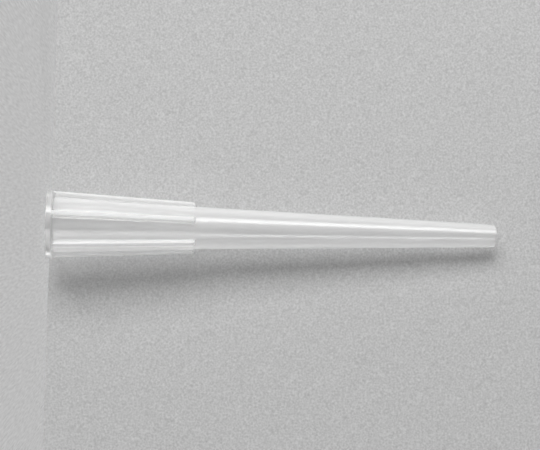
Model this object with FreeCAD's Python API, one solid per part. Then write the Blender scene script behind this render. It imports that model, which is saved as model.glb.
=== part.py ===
import FreeCAD, Part
import math
import os

# Wide-orifice pipette tip of the 200 microlitre class, moulded in one piece from natural polypropylene.
# Sizes are in millimetres and degrees. The tip stands on its mouth: the origin is at the middle of the
# mouth's face, Z runs up the tip's axis, and "along" is the height above that face.

# Distances from the mouth's face
tip_length = 50.0
collar_length = 16.35
bead_width = 0.50
groove_start = 0.68
nose_start = 39.0

# Outer radii
bead_radius = 3.785
rib_radius_at_mouth = 3.745
rib_radius_at_collar_end = 2.86
tube_radius_at_mouth = 3.08
tube_radius_at_collar_end = 2.37
nose_radius = 1.63
end_radius = 1.245

# Ribs around the collar, with a wide groove between each two. The first rib's angle is counted from +X.
rib_count = 6
rib_width = 0.58
first_rib_angle = 10.0

# The hollow: a lead-in, the socket's cone with a short sealing land, then a long cone to the orifice
mouth_opening_radius = 3.08
lead_in_depth = 0.60
socket_radius = 2.74
land_start = 3.0
land_length = 2.0
land_radius = 2.64
hollow_radius_at_collar_end = 1.88
orifice_radius = 0.78

# Rounded edges
rim_rounding = 0.10
rib_end_rounding = 0.30
rib_edge_rounding = 0.12
groove_corner_rounding = 0.25

# How far a cutting shape runs past what it cuts, and how close counts as touching
overrun = 1.0
touching = 1e-4

origin = FreeCAD.Vector(0, 0, 0)
tip_axis = FreeCAD.Vector(0, 0, 1)


def radius_on_collar(along, radius_at_mouth, radius_at_collar_end):
    """Radius of a cone that is given at both ends of the collar."""
    return radius_at_mouth + (radius_at_collar_end - radius_at_mouth) * along / collar_length


def turned(section):
    """The solid that a closed section of (radius, along) corners sweeps around the tip's axis."""
    corners = [FreeCAD.Vector(-radius, 0, along) for radius, along in section]
    face = Part.Face(Part.makePolygon(corners + corners[:1]))
    return face.revolve(origin, tip_axis, 360)


def middle_radius(edge):
    """Distance from the tip's axis to the middle of an edge."""
    middle = edge.valueAt((edge.FirstParameter + edge.LastParameter) / 2)
    return math.hypot(middle.x, middle.y)


def touches_cone(edge, radius_at_mouth, radius_at_collar_end):
    """Whether an edge runs on the surface of a cone that is given at both ends of the collar."""
    middle = (edge.FirstParameter + edge.LastParameter) / 2
    points = [edge.valueAt(at) for at in (edge.FirstParameter, middle, edge.LastParameter)]
    return all(abs(math.hypot(point.x, point.y)
                   - radius_on_collar(point.z, radius_at_mouth, radius_at_collar_end)) < touching
               for point in points)


def touches_plane(edge, along):
    """Whether an edge lies square to the tip's axis, at this distance from the mouth's face."""
    return all(abs(vertex.Z - along) < touching for vertex in edge.Vertexes)


def circles(shape, along, radius):
    """A shape's round edges about the tip's axis with this radius, at this distance from the mouth's face."""
    return [edge for edge in shape.Edges if edge.Curve.TypeId == "Part::GeomCircle"
            and touches_plane(edge, along) and abs(edge.Curve.Radius - radius) < touching
            and abs(edge.Curve.Center.x) + abs(edge.Curve.Center.y) < touching]


def make_groove():
    """The gap between two ribs, rounded at its corners behind the bead."""
    half_pitch = math.pi / rib_count
    depth = collar_length + overrun - groove_start
    reach = rib_radius_at_mouth + overrun
    inner = rib_width / 2 / math.sin(half_pitch)
    side = (reach - inner) * math.tan(half_pitch)
    corners = [FreeCAD.Vector(inner, 0, groove_start), FreeCAD.Vector(reach, -side, groove_start),
               FreeCAD.Vector(reach, side, groove_start)]
    wedge = Part.Face(Part.makePolygon(corners + corners[:1])).extrude(tip_axis * depth)
    far = collar_length + 2 * overrun
    far_radius = radius_on_collar(far, tube_radius_at_mouth, tube_radius_at_collar_end)
    groove = wedge.cut(turned([(0, 0), (tube_radius_at_mouth, 0), (far_radius, far), (0, far)]))
    behind_bead = [edge for edge in groove.Edges if touches_plane(edge, groove_start)
                   and edge.Vertexes[0].Y * edge.Vertexes[1].Y > 0]
    return groove.makeFillet(groove_corner_rounding, behind_bead)


def rib_edges(collar):
    """The ribs' outer edges: along their tops, around the grooves' ends and down the ribs' rounded ends."""
    tops = [edge for edge in collar.Edges
            if touches_cone(edge, rib_radius_at_mouth, rib_radius_at_collar_end)
            and (edge.Curve.TypeId != "Part::GeomCircle" or touches_plane(edge, groove_start))]
    ends = [edge for edge in collar.Edges if edge.Curve.TypeId != "Part::GeomCircle"
            and min(vertex.Z for vertex in edge.Vertexes) > collar_length - rib_end_rounding
            and middle_radius(edge) > tube_radius_at_collar_end + touching]
    return tops + ends


def make_collar():
    """The ribbed collar: a cone with six wide grooves, which leave ribs with rounded ends and edges."""
    collar = turned([(0, 0), (rib_radius_at_mouth, 0), (rib_radius_at_collar_end, collar_length),
                     (0, collar_length)])
    collar = collar.makeFillet(rib_end_rounding, circles(collar, collar_length, rib_radius_at_collar_end))
    groove = make_groove()
    for number in range(rib_count):
        cutter = groove.copy()
        cutter.rotate(origin, tip_axis, (number + 0.5) * 360 / rib_count)
        collar = collar.cut(cutter)
    return collar.makeFillet(rib_edge_rounding, rib_edges(collar))


def make_bead():
    """The ring around the mouth, rounded along the edge it stands on."""
    bead = turned([(0, 0), (bead_radius, 0), (bead_radius, bead_width), (0, bead_width)])
    return bead.makeFillet(rim_rounding, circles(bead, 0, bead_radius))


def make_shaft():
    """The tapered shaft below the collar, with a rounded edge around its open end."""
    shaft = turned([(0, collar_length), (tube_radius_at_collar_end, collar_length), (nose_radius, nose_start),
                    (end_radius, tip_length), (0, tip_length)])
    return shaft.makeFillet(rim_rounding, circles(shaft, tip_length, end_radius))


def make_hollow():
    """The space inside, from the lead-in at the mouth to the orifice."""
    return turned([(0, 0), (mouth_opening_radius, 0), (socket_radius, lead_in_depth),
                   (land_radius, land_start), (land_radius, land_start + land_length),
                   (hollow_radius_at_collar_end, collar_length), (orifice_radius, tip_length), (0, tip_length)])


def make_tip():
    """The whole tip as one solid, standing on its mouth."""
    outside = make_collar().fuse([make_bead(), make_shaft()])
    tip = outside.cut(make_hollow()).Solids[0]
    tip.rotate(origin, tip_axis, first_rib_angle)
    return tip


os.makedirs("parts", exist_ok=True)
tip = make_tip()
tip.exportStep("parts/tip.step")
box = tip.optimalBoundingBox()
print(f"tip: {tip.Volume:.2f} mm3, {len(tip.Faces)} faces, valid {tip.isValid()}, "
      f"{box.XLength:.2f} x {box.YLength:.2f} x {box.ZLength:.2f} mm from Z {box.ZMin:.4f}")
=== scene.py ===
from math import radians

import bpy
import numpy as np
from mathutils import Matrix, Vector


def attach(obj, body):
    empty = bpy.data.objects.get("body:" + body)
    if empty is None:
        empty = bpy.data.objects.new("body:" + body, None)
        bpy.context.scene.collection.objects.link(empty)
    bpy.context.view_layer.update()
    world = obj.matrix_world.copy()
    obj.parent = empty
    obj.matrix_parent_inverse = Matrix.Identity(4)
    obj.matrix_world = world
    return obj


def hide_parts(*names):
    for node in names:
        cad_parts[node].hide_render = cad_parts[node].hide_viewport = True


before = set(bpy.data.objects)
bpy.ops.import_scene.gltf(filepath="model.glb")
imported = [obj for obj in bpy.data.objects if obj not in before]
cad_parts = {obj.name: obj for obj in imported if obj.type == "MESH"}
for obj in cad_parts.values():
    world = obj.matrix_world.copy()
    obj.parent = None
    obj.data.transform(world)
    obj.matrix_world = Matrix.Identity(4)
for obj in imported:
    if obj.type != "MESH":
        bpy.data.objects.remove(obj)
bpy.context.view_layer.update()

mm = 0.001


def linearColor(hexText):
    # sRGB hex to linear light: c / 12.92 below 0.04045, else ((c + 0.055) / 1.055) ^ 2.4
    srgb = np.array([int(hexText[i:i + 2], 16) for i in (1, 3, 5)]) / 255
    linear = np.where(srgb <= 0.04045, srgb / 12.92, ((srgb + 0.055) / 1.055) ** 2.4)
    return (*linear.tolist(), 1.0)


def newMaterial(name):
    # a material with an empty node tree
    material = bpy.data.materials.new(name)
    material.use_nodes = True
    material.node_tree.nodes.clear()
    return material, material.node_tree


def addNode(tree, kind, settings=None, **links):
    # one node with its settings (attributes, or values by the socket's name or number) and its links
    # from other nodes' outputs: a link is named for its socket, with _ for a space, or is i and the
    # socket's number
    node = tree.nodes.new(kind)
    for key, value in (settings or {}).items():
        if isinstance(key, str) and hasattr(node, key):
            setattr(node, key, value)
        else:
            node.inputs[key].default_value = value
    for key, source in links.items():
        numbered = key[0] == "i" and key[1:].isdigit()
        tree.links.new(source, node.inputs[int(key[1:]) if numbered else key.replace("_", " ")])
    return node


# the tip, in millimetres and degrees; heights are counted from the mouth's face up the axis, and
# "along" is such a height
tip = dict(
    length=50.0, collarLength=16.35, beadWidth=0.50, grooveStart=0.68, noseStart=39.0,
    beadRadius=3.780, ribAtMouth=3.745, ribAtCollarEnd=2.86, tubeAtMouth=3.08, tubeAtCollarEnd=2.37,
    noseRadius=1.63, endRadius=1.245,
    ribCount=6, ribWidth=0.58, firstRib=10.0,  # the first rib's angle is counted from +X
    mouthOpening=3.08, leadIn=0.60, socketRadius=2.74, landStart=3.0, landLength=2.0, landRadius=2.64,
    hollowAtCollarEnd=1.88, orificeRadius=0.78,
    rimRounding=0.10, ribEndRounding=0.30, ribRounding=0.12, grooveCorner=0.25, grooveFloor=0.12,
    mouthHaze=0.8,  # how much of the haze lies on the bead and the plain band behind it
)

# how closely the rows and columns of the tip's surface stand, in millimetres and degrees
spacing = dict(
    edgeTurn=15, footTurn=18,  # one step around a rounded edge, and around a rib's foot
    topColumns=5, floorColumns=8,  # on half a rib's flat top, and on the rest of half a groove
    beadRows=(0.2, 0.3),  # heights on the bead
    cornerRows=(0.14, 0.30, 0.02),  # past the groove's start: first, end, gap
    ribRows=(1.2, 0.8, 0.95),  # first height, distance before the collar's end, gap
    ribEndRows=(2.2, 1.2, 4),  # first and last before the end, in roundings of the rib's end; count
    runGap=1.6, shortRun=0.1,  # between rows on a straight run, and a run too short to divide
    bendGap=0.04, soft=0.02,  # beside a bend of the outline, and beside the bead's and ribs' creases
    sharp=2e-4, hair=1e-4,  # at each side of a step, and less than any gap between rows
    creaseAngle=32,  # edges that turn by more are shaded sharp
)


def quarterTurn(step):
    # turns from 0 to 90 degrees by equal steps
    return np.radians(np.arange(0, 91, step))


def rounded(distance, radius):
    # how far a rounded edge has dropped at this distance inside it:
    # r - sqrt(r^2 - (r - d)^2), and nothing past r
    inside = np.clip(radius - distance, 0, radius)
    return radius - np.sqrt(np.maximum(radius ** 2 - inside ** 2, 0))


def insideCorner(u, v, radius):
    # distance inside a quarter plane u > 0, v > 0 whose corner is rounded: min(u, v), or
    # radius - hypot(radius - u, radius - v) where both are under the radius; negative outside
    curved = radius - np.hypot(radius - u, radius - v)
    return np.where((u < radius) & (v < radius), curved, np.minimum(u, v))


def taper(along, atMouth, atCollarEnd):
    # a cone given at both ends of the collar: mouth + (end - mouth) * along / length
    return atMouth + (atCollarEnd - atMouth) * along / tip["collarLength"]


def mirrored(half):
    # half a sector's columns, then the same ones backwards without the two that stand on the mirror
    return np.concatenate([half, half[..., -2:0:-1]], axis=-1)


def sectorColumns():
    # columns of half a rib and half a groove, as shares of four widths laid side by side: flat rib top,
    # rounded rib edge (sin of the turn), rounded groove foot (1 - cos of the turn), rest of the groove
    top = np.linspace(0, 1, spacing["topColumns"] + 1)[:-1]
    edge = np.sin(quarterTurn(spacing["edgeTurn"]))
    foot = 1 - np.cos(quarterTurn(spacing["footTurn"]))
    rest = np.linspace(0, 1, spacing["floorColumns"] + 1)[1:]
    shares = [(q, 0, 0, 0) for q in top] + [(1, f, 0, 0) for f in edge]
    shares += [(1, 1, g, 0) for g in foot] + [(1, 1, 1, p) for p in rest]
    inGroove = [0] * (len(top) + len(edge)) + [1] * (len(foot) + len(rest))
    return np.array(shares, float).T, np.array(inGroove, bool)


def collarRows():
    # heights of the rows from the mouth's face to the collar's end, close where it curves: a rounding of
    # radius r is stepped by equal turns, height = r * sin(turn) or r * (1 - cos(turn)); the last three
    # rows hold the ribs' flat ends
    turn = quarterTurn(spacing["edgeTurn"])
    start, end, bead = tip["grooveStart"], tip["collarLength"], tip["beadWidth"]
    ribEdge, foot, ribEnd = tip["ribRounding"], tip["grooveFloor"], tip["ribEndRounding"]
    soft, sharp, hair = spacing["soft"], spacing["sharp"], spacing["hair"]
    firstRow, lastBeforeEnd, gap = spacing["ribRows"]
    rows = [tip["rimRounding"] * (1 - np.cos(turn)), spacing["beadRows"]]
    rows += [[bead - soft, bead - sharp, bead + sharp, bead + soft]]
    rows += [start - ribEdge + ribEdge * np.sin(turn), start + foot * (1 - np.cos(turn))]
    rows += [start + np.arange(*spacing["cornerRows"]), np.arange(firstRow, end - lastBeforeEnd, gap)]
    rows += [end - np.linspace(*spacing["ribEndRows"]) * ribEnd, end - ribEnd + ribEnd * np.sin(turn)]
    heights = np.unique(np.round(np.concatenate(rows), 5))
    heights = heights[(heights >= 0) & (heights < end) & (np.abs(heights - start) > hair)]
    heights = np.sort(np.append(heights, [start - sharp, start + sharp]))
    return np.concatenate([heights, end - np.array([sharp, hair, 0])])


def collarGrid():
    # the ribbed collar: radius = rib cone - rounded(D) at the distance D inside a rib's outline, and
    # tube cone + rounded foot(-D) outside it; a rib's sides are parallel, and towards its end it drops by
    # rounded(distance from the end), all rounded off by the same drop near its sides
    (q, f, g, p), inGroove = sectorColumns()
    flat = collarRows()[:, None]
    halfRib, r, foot = tip["ribWidth"] / 2, tip["ribRounding"], tip["grooveFloor"]
    half = np.pi / tip["ribCount"]
    base = q * (halfRib - r) + f * r + g * foot
    drop = np.where(inGroove, r * (1 - g), rounded(halfRib - base, r))
    fromEnd = tip["collarLength"] - flat
    along = flat - drop * np.clip(2 - fromEnd / tip["ribEndRounding"], 0, 1) * (fromEnd > 0)
    rib = taper(along, tip["ribAtMouth"], tip["ribAtCollarEnd"])
    tube = taper(along, tip["tubeAtMouth"], tip["tubeAtCollarEnd"])
    across = base + p * (tube * np.sin(half) - halfRib - foot)
    nudge = np.where(inGroove, 1e-6, -1e-6)  # a column on a rib's very side counts as its own side's
    inside = -insideCorner(across - halfRib + nudge, along - tip["grooveStart"], tip["grooveCorner"])
    ribTop = rib - rounded(inside, r) - rounded(fromEnd, tip["ribEndRounding"] - drop)
    ribTop = np.where(fromEnd < 1.5 * spacing["hair"], tip["tubeAtCollarEnd"] + spacing["soft"], ribTop)
    radius = np.where(inside > 0, ribTop, tube + rounded(-inside, foot))
    radius = np.where(fromEnd > 0, radius, tip["tubeAtCollarEnd"])
    bead = np.where(along <= tip["beadWidth"], tip["beadRadius"] - rounded(along, tip["rimRounding"]), 0)
    radius = np.maximum(radius, bead)
    across = base + p * (radius * np.sin(half) - halfRib - foot)
    angle = np.arcsin(np.clip(across / radius, -1, 1))
    return angle, radius, along


def wholeTurn(angle, radius, along):
    # half a sector and its mirror image, repeated around the axis:
    # x = radius * cos(angle), y = radius * sin(angle), z = along, in metres
    angle = np.concatenate([angle, 2 * np.pi / tip["ribCount"] - angle[:, -2:0:-1]], axis=1)
    starts = radians(tip["firstRib"]) + np.arange(tip["ribCount"]) * 2 * np.pi / tip["ribCount"]
    angle = (starts[None, :, None] + angle[:, None, :]).reshape(len(angle), -1)
    radius, along = (np.tile(mirrored(half), tip["ribCount"]) for half in (radius, along))
    return np.stack([radius * np.cos(angle), radius * np.sin(angle), along], axis=-1) * mm


def turnedRows():
    # (radius, along) of the rows past the collar: down the shaft, around the end, up through the hollow
    # to the mouth's face; straight runs are divided, and a close row stands at each side of a bend
    rim = tip["rimRounding"]
    lean = np.arctan2(tip["noseRadius"] - tip["endRadius"], tip["length"] - tip["noseStart"])
    turn = np.linspace(lean, np.pi / 2, len(quarterTurn(spacing["edgeTurn"])))
    centre = tip["endRadius"] - rim / np.cos(lean) + rim * np.tan(lean), tip["length"] - rim
    corners = [(tip["tubeAtCollarEnd"], tip["collarLength"]), (tip["noseRadius"], tip["noseStart"])]
    corners += [(centre[0] + rim * np.cos(a), centre[1] + rim * np.sin(a)) for a in turn]
    corners += [(tip["orificeRadius"], tip["length"]), (tip["hollowAtCollarEnd"], tip["collarLength"])]
    corners += [(tip["landRadius"], tip["landStart"] + tip["landLength"])]
    corners += [(tip["landRadius"], tip["landStart"]), (tip["socketRadius"], tip["leadIn"])]
    corners += [(tip["mouthOpening"], 0), (tip["beadRadius"] - rim, 0)]
    corners = np.array(corners)
    rows = []
    for first, last in zip(corners[:-1], corners[1:]):
        span = np.hypot(*(last - first))
        near = min(spacing["bendGap"], span / 4) / span
        middle = np.linspace(0, 1, max(int(span / spacing["runGap"]), 1) + 1)[1:-1]
        share = np.concatenate([[0, near], middle, [1 - near]]) if span > spacing["shortRun"] else [0]
        rows.append(first + np.outer(share, last - first))
    return np.concatenate(rows)[1:]


def closedGrid(rows, columns):
    # four-cornered faces of a grid whose last row joins its first, and whose last column joins its first
    number = np.arange(rows * columns).reshape(rows, columns)
    nextRow, nextColumn = np.roll(number, -1, axis=0), np.roll(number, -1, axis=1)
    return np.stack([number, nextColumn, np.roll(nextRow, -1, axis=1), nextRow], axis=-1).reshape(-1, 4)


def buildTip():
    # the collar's rows, then the turned rows, as one closed surface; "frost" is 1 on the ribs, and
    # "outside" is 1 from the mouth to the far end, less around the mouth, and 0 in the hollow
    angle, radius, along = collarGrid()
    turned = turnedRows()
    collarCount = len(along) - 1
    angle = np.concatenate([angle, np.repeat(angle[-1:], len(turned), axis=0)])
    radius = np.concatenate([radius, np.repeat(turned[:, :1], radius.shape[1], axis=1)])
    along = np.concatenate([along, np.repeat(turned[:, 1:], along.shape[1], axis=1)])
    points = wholeTurn(angle, radius, along)
    rows, columns = points.shape[:2]
    mesh = bpy.data.meshes.new("pipetteTip")
    mesh.from_pydata(points.reshape(-1, 3), [], closedGrid(rows, columns).tolist())
    mesh.validate()
    mesh.update()
    mesh.shade_smooth()
    mesh.set_sharp_from_angle(angle=radians(spacing["creaseAngle"]))
    onRib = np.tile(mirrored(~sectorColumns()[1]), tip["ribCount"])
    aroundMouth = along[:collarCount, :1] < tip["grooveStart"]
    frost = np.zeros((rows, columns), np.float32)
    frost[:collarCount] = onRib & ~aroundMouth
    outside = np.zeros((rows, columns), np.float32)
    outside[:collarCount + np.argmax(turned[:, 1]) + 1] = 1
    outside[:collarCount] = np.where(aroundMouth, tip["mouthHaze"], 1)
    for name, values in (("frost", frost), ("outside", outside)):
        mesh.attributes.new(name, "FLOAT", "POINT").data.foreach_set("value", values.ravel())
    piece = bpy.data.objects.new("pipetteTip", mesh)
    bpy.context.scene.collection.objects.link(piece)
    print("tip surface:", rows, "x", columns, "grid,", len(mesh.polygons) * 2, "triangles")
    return piece


# the plastic: polished and moulded are the roughness off and on the ribs, and a haze is a share of milk
plastic = dict(
    color="#FFFFFF", milk="#FDFDFD", ior=1.52, polished=0.08, moulded=0.30, transmission=1.0,
    hazeStraight=0.36, hazeSlanting=0.47,  # on a wall that is met straight, and at a slant
    hazeInRibs=0.34,  # what a rib adds
    cloudShare=0.05, cloudSize=2.5, cloudScale=0.3,  # haze up and down, millimetres, scale along the tip
    litFromBehind=0.48,  # the share of the milk that shows the light behind it
    lightThrough=0.8, lightFalloff=3.0,  # share of the lamps' light that passes, and how it falls off
)


def mouldedPolypropylene():
    # natural polypropylene, injection moulded: see-through with a milky haze, glossy where the mould is
    # polished and duller on the ribs; the haze is laid on the outside only, once for each wall, and light
    # that meets a wall at a slant, or a solid rib, crosses more plastic and gathers more of it; it is a
    # little uneven where the plastic flowed; the lamps' light passes a wall that it meets straight, and
    # is turned away where it meets one at a slant, as in any clear tube's shadow:
    # share that passes = through * (1 - slant) ^ falloff
    material, tree = newMaterial("mouldedPolypropylene")
    frost = addNode(tree, "ShaderNodeAttribute", {"attribute_name": "frost"})
    outside = addNode(tree, "ShaderNodeAttribute", {"attribute_name": "outside"})
    roughness = addNode(tree, "ShaderNodeMapRange", {
        "To Min": plastic["polished"], "To Max": plastic["moulded"]}, Value=frost.outputs["Fac"])
    clear = addNode(tree, "ShaderNodeBsdfPrincipled", {
        "Base Color": linearColor(plastic["color"]), "IOR": plastic["ior"],
        "Transmission Weight": plastic["transmission"]}, Roughness=roughness.outputs[0])
    back = addNode(tree, "ShaderNodeBsdfTranslucent", {"Color": linearColor(plastic["milk"])})
    front = addNode(tree, "ShaderNodeBsdfDiffuse", {"Color": linearColor(plastic["milk"])})
    haze = addNode(tree, "ShaderNodeMixShader", {"Fac": plastic["litFromBehind"]},
                   i1=front.outputs[0], i2=back.outputs[0])
    place = addNode(tree, "ShaderNodeTexCoord")
    flow = addNode(tree, "ShaderNodeMapping", {"Scale": (1.0, 1.0, plastic["cloudScale"])},
                   Vector=place.outputs["Object"])
    cloud = addNode(tree, "ShaderNodeTexNoise", {"Scale": 1 / (plastic["cloudSize"] * mm), "Detail": 2.0},
                    Vector=flow.outputs[0])
    uneven = addNode(tree, "ShaderNodeMapRange", {
        "To Min": -plastic["cloudShare"], "To Max": plastic["cloudShare"]}, Value=cloud.outputs["Fac"])
    slant = addNode(tree, "ShaderNodeLayerWeight", {"Blend": 0.5})
    wall = addNode(tree, "ShaderNodeMapRange", {
        "To Min": plastic["hazeStraight"], "To Max": plastic["hazeSlanting"]}, Value=slant.outputs["Facing"])
    rib = addNode(tree, "ShaderNodeMath", {"operation": "MULTIPLY_ADD", 1: plastic["hazeInRibs"]},
                  i0=frost.outputs["Fac"], i2=uneven.outputs[0])
    gathered = addNode(tree, "ShaderNodeMath", {"operation": "ADD", "use_clamp": True},
                       i0=wall.outputs[0], i1=rib.outputs[0])
    milkShare = addNode(tree, "ShaderNodeMath", {"operation": "MULTIPLY"},
                        i0=gathered.outputs[0], i1=outside.outputs["Fac"])
    body = addNode(tree, "ShaderNodeMixShader", None,
                   i0=milkShare.outputs[0], i1=clear.outputs[0], i2=haze.outputs[0])
    through = addNode(tree, "ShaderNodeBsdfTransparent")
    ray = addNode(tree, "ShaderNodeLightPath")
    straight = addNode(tree, "ShaderNodeMath", {"operation": "SUBTRACT", 0: 1.0},
                       i1=slant.outputs["Facing"])
    falling = addNode(tree, "ShaderNodeMath", {"operation": "POWER", 1: plastic["lightFalloff"]},
                      i0=straight.outputs[0])
    passing = addNode(tree, "ShaderNodeMath", {"operation": "MULTIPLY", 1: plastic["lightThrough"]},
                      i0=falling.outputs[0])
    share = addNode(tree, "ShaderNodeMath", {"operation": "MULTIPLY"},
                    i0=passing.outputs[0], i1=ray.outputs["Is Shadow Ray"])
    mix = addNode(tree, "ShaderNodeMixShader", None,
                  i0=share.outputs[0], i1=body.outputs[0], i2=through.outputs[0])
    addNode(tree, "ShaderNodeOutputMaterial", None, Surface=mix.outputs[0])
    return material


# the stage, in millimetres and degrees: a pale grey paper that leans behind the tip, all but touching
# its bead and its end, and a floor of the same paper
stage = dict(
    paper="#C0C0C0", floor="#D8D8D8", floorGlow="#7A7A7A",
    grain=0.08, grainSize=0.22, floorFibre=14.0,  # the grain's strength and size; its length on the floor
    paperFoot=3.80, paperLean=0.0502, paperTurn=-5.0,  # behind the axis, towards it per height, about it
    paperHalfWidth=120.0, paperTop=66.0, floorHalf=900.0,
)


def grainyGrey(tree, hexText, fibre):
    # paper fibres: the grey goes up and down a little in grains, which are longer along y by a factor:
    # grey * (1 - spread + 2 * spread * noise)
    place = addNode(tree, "ShaderNodeTexCoord")
    run = addNode(tree, "ShaderNodeMapping", {"Scale": (1.0, 1 / fibre, 1.0)},
                  Vector=place.outputs["Object"])
    noise = addNode(tree, "ShaderNodeTexNoise", {"Scale": 1 / (stage["grainSize"] * mm), "Detail": 1.0},
                    Vector=run.outputs[0])
    spread = 4 * stage["grain"]  # the noise mostly keeps to the middle quarter of its range
    level = addNode(tree, "ShaderNodeMapRange", {"To Min": 1 - spread, "To Max": 1 + spread},
                    Value=noise.outputs["Fac"])
    return addNode(tree, "ShaderNodeVectorMath", {"operation": "SCALE", 0: linearColor(hexText)[:3]},
                   Scale=level.outputs[0])


def mattBackPaper():
    # uncoated grey paper, matt with a fine fibre grain; a camera behind it looks through it
    material, tree = newMaterial("greyPaper")
    grey = grainyGrey(tree, stage["paper"], 1.0)
    matt = addNode(tree, "ShaderNodeBsdfDiffuse", None, Color=grey.outputs[0])
    gone = addNode(tree, "ShaderNodeBsdfTransparent")
    ray = addNode(tree, "ShaderNodeLightPath")
    side = addNode(tree, "ShaderNodeNewGeometry")
    both = addNode(tree, "ShaderNodeMath", {"operation": "MULTIPLY"},
                   i0=ray.outputs["Is Camera Ray"], i1=side.outputs["Backfacing"])
    mix = addNode(tree, "ShaderNodeMixShader", None,
                  i0=both.outputs[0], i1=matt.outputs[0], i2=gone.outputs[0])
    addNode(tree, "ShaderNodeOutputMaterial", None, Surface=mix.outputs[0])
    return material


def mattFloorPaper():
    # the same paper lying flat, which is seen at a low angle: the camera alone sees it lifted by a glow
    # to the upright paper's grey, and its fibres are drawn long, so that they still show at that angle
    material, tree = newMaterial("floorGrey")
    grey = grainyGrey(tree, stage["floor"], stage["floorFibre"])
    matt = addNode(tree, "ShaderNodeBsdfDiffuse", None, Color=grey.outputs[0])
    ray = addNode(tree, "ShaderNodeLightPath")
    lift = addNode(tree, "ShaderNodeEmission", {"Color": linearColor(stage["floorGlow"])},
                   Strength=ray.outputs["Is Camera Ray"])
    both = addNode(tree, "ShaderNodeAddShader", None, i0=matt.outputs[0], i1=lift.outputs[0])
    addNode(tree, "ShaderNodeOutputMaterial", None, Surface=both.outputs[0])
    return material


def sheet(name, corners, material):
    # one flat four-cornered face, with corners in millimetres
    mesh = bpy.data.meshes.new(name)
    mesh.from_pydata([[value * mm for value in corner] for corner in corners], [], [(0, 1, 2, 3)])
    piece = bpy.data.objects.new(name, mesh)
    mesh.materials.append(material)
    bpy.context.scene.collection.objects.link(piece)
    return piece


def buildStage():
    # the paper's distance behind the axis: (x * sin(turn) + foot - lean * z) / cos(turn); neither sheet
    # casts a shadow, because the key reaches below the floor's level and the other lamp stands behind
    turn = radians(stage["paperTurn"])
    wide, top, half = stage["paperHalfWidth"], stage["paperTop"], stage["floorHalf"]
    x, z = np.array([(-wide, 0), (wide, 0), (wide, top), (-wide, top)]).T
    depth = (x * np.sin(turn) + stage["paperFoot"] - stage["paperLean"] * z) / np.cos(turn)
    corners = np.stack([x, depth, z], axis=1)
    paper = sheet("backPaper", corners.tolist(), mattBackPaper())
    paper.visible_diffuse = False
    paper.visible_shadow = False
    floor = sheet("floorPaper", [(-half, -half, 0), (half, -half, 0), (half, half, 0), (-half, half, 0)],
                  mattFloorPaper())
    floor.visible_glossy = False
    floor.visible_transmission = False
    floor.visible_shadow = False
    print("stage built")


# the lamps, in millimetres and degrees; a turn is counted from straight in front of the tip, towards -X
lights = dict(
    distance=500.0, ambient="#9C9C9C",
    key=dict(turn=51.0, rise=-90.0, wide=220.0, long=500.0, radiance=7.9),
    back=dict(turn=-118.0, rise=0.0, wide=200.0, long=300.0, radiance=7.5),
)


def lookAlong(location, forward, up):
    # a turn whose -Z points forward and whose Y is as near as it can be to up
    back = -Vector(forward).normalized()
    right = Vector(up).cross(back).normalized()
    rotation = Matrix((right, back.cross(right), back)).transposed()
    return Matrix.Translation(Vector(location)) @ rotation.to_4x4()


def softPanel(name, turn, rise, wide, long, radiance):
    # a rectangle of even radiance that faces the tip's axis, at a height above the tip's middle:
    # energy = radiance * pi * area
    away = Vector((-np.sin(radians(turn)), -np.cos(radians(turn)), 0))
    lamp = bpy.data.lights.new(name, "AREA")
    lamp.shape = "RECTANGLE"
    lamp.size, lamp.size_y = wide * mm, long * mm
    lamp.energy = radiance * np.pi * lamp.size * lamp.size_y
    panel = bpy.data.objects.new(name, lamp)
    place = Vector((0, 0, tip["length"] / 2 + rise)) + away * lights["distance"]
    panel.matrix_world = lookAlong(place * mm, -away, (0, 0, 1))
    panel.visible_camera = False
    bpy.context.scene.collection.objects.link(panel)


def buildLights():
    # one soft key, one soft light from behind on the other side, and an even grey world
    softPanel("softKey", **lights["key"])
    softPanel("softBack", **lights["back"])
    world = bpy.data.worlds.new("studio")
    world.use_nodes = True
    world.node_tree.nodes["Background"].inputs["Color"].default_value = linearColor(lights["ambient"])
    bpy.context.scene.world = world
    print("lights built")


# the camera, in millimetres and degrees
view = dict(
    distance=185.5, lens=110.8, sensor=36.0, roll=1.54, shiftUp=0.56, shiftLeft=0.31,
    clipStart=5.0, clipEnd=10000.0,
)


def buildCamera():
    # in front of the tip, tilted by the paper's lean, and rolled by a quarter turn and a little more: the
    # view's right is up the tip (+Z), and its up is -X
    lean = stage["paperLean"]
    forward = Vector((0, 1, lean)).normalized()
    right = Vector((0, -lean, 1)).normalized()
    up = Vector((-1, 0, 0))
    turn = radians(view["roll"])
    rolledUp = up * np.cos(turn) - right * np.sin(turn)
    location = Vector((0, 0, tip["length"] / 2)) - forward * view["distance"]
    location += up * view["shiftUp"] - right * view["shiftLeft"]
    data = bpy.data.cameras.new("camera")
    data.lens, data.sensor_width = view["lens"], view["sensor"]
    data.clip_start, data.clip_end = view["clipStart"] * mm, view["clipEnd"] * mm
    camera = bpy.data.objects.new("camera", data)
    camera.matrix_world = lookAlong(location * mm, forward, rolledUp)
    bpy.context.scene.collection.objects.link(camera)
    bpy.context.scene.camera = camera


body = buildTip()
body.data.materials.append(mouldedPolypropylene())
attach(body, "root")
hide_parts("tip")
buildStage()
buildLights()
buildCamera()
bpy.context.scene.view_settings.view_transform = "Standard"
